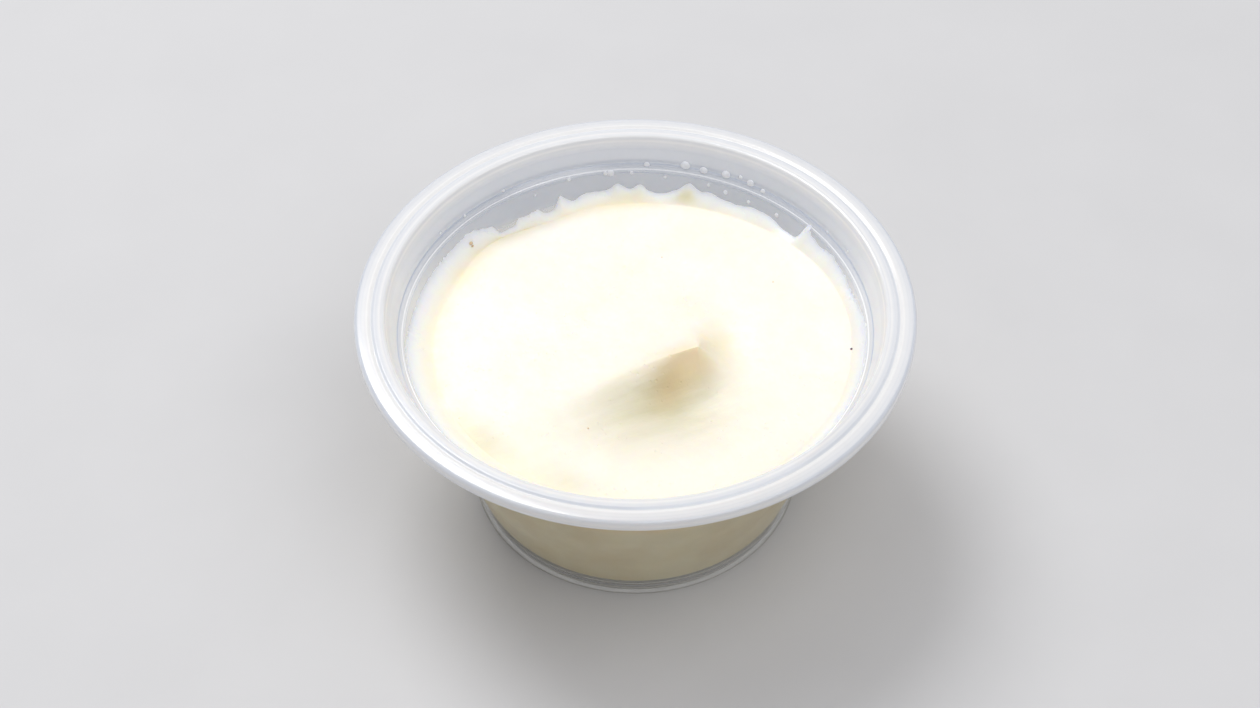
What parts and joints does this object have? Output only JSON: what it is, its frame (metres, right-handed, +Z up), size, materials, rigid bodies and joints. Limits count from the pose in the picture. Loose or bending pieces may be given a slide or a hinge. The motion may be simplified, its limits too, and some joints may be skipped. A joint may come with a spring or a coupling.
{
  "type": "plastic portion cup of cream sauce",
  "caption": "Open round translucent plastic portion cup with a wide brim, a stacking ledge and a foot ring, filled with thick cream sauce that has one soft peak.",
  "frame": {"origin": "centre of the foot ring, on the surface that the cup stands on", "axes": "+Z up along the cup's axis, -Y towards the side that the picture looks from, +X to the picture's right"},
  "size_m": [0.08, 0.08, 0.036],
  "materials": {
    "cup_plastic": "thin milky translucent polypropylene, smooth with a soft gloss",
    "cream_sauce": "thick opaque cream sauce with a soft wet sheen and fine bubbles"
  },
  "bodies": {
    "root": {"cup": "cup_plastic", "sauce": "cream_sauce"}
  },
  "joints": []
}
